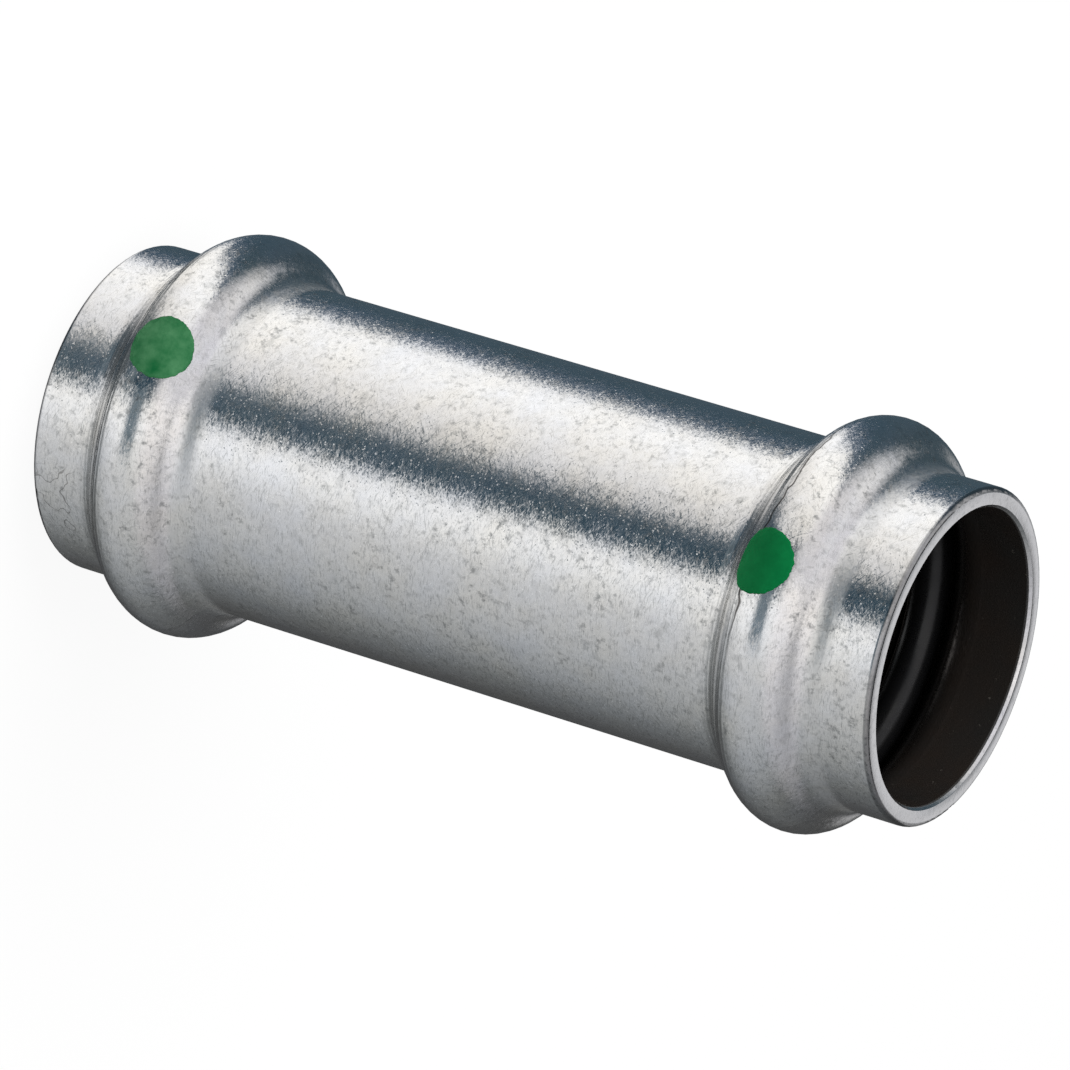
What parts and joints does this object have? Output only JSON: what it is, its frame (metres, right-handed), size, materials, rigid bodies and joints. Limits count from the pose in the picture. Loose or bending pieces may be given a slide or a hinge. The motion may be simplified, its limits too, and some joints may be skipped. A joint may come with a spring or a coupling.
{
  "type": "press fit slip coupling",
  "caption": "Short stainless steel sleeve with a rounded bead and an inner rubber seal near each open end, pressed onto two pipe ends to join them.",
  "frame": {"origin": "centre of the lower mouth, on the plane of the end face it stands on", "axes": "+Z along the pipe axis toward the upper mouth, -Y toward the side with the printed dot of the upper bead"},
  "size_m": [0.0312, 0.0312, 0.072],
  "materials": {
    "steel": "satin, pickled",
    "seal": "matte",
    "ink": "satin"
  },
  "bodies": {
    "root": {"body": "steel", "seal_lower": "seal", "seal_upper": "seal", "dot_lower": "ink", "dot_upper": "ink"}
  },
  "joints": []
}
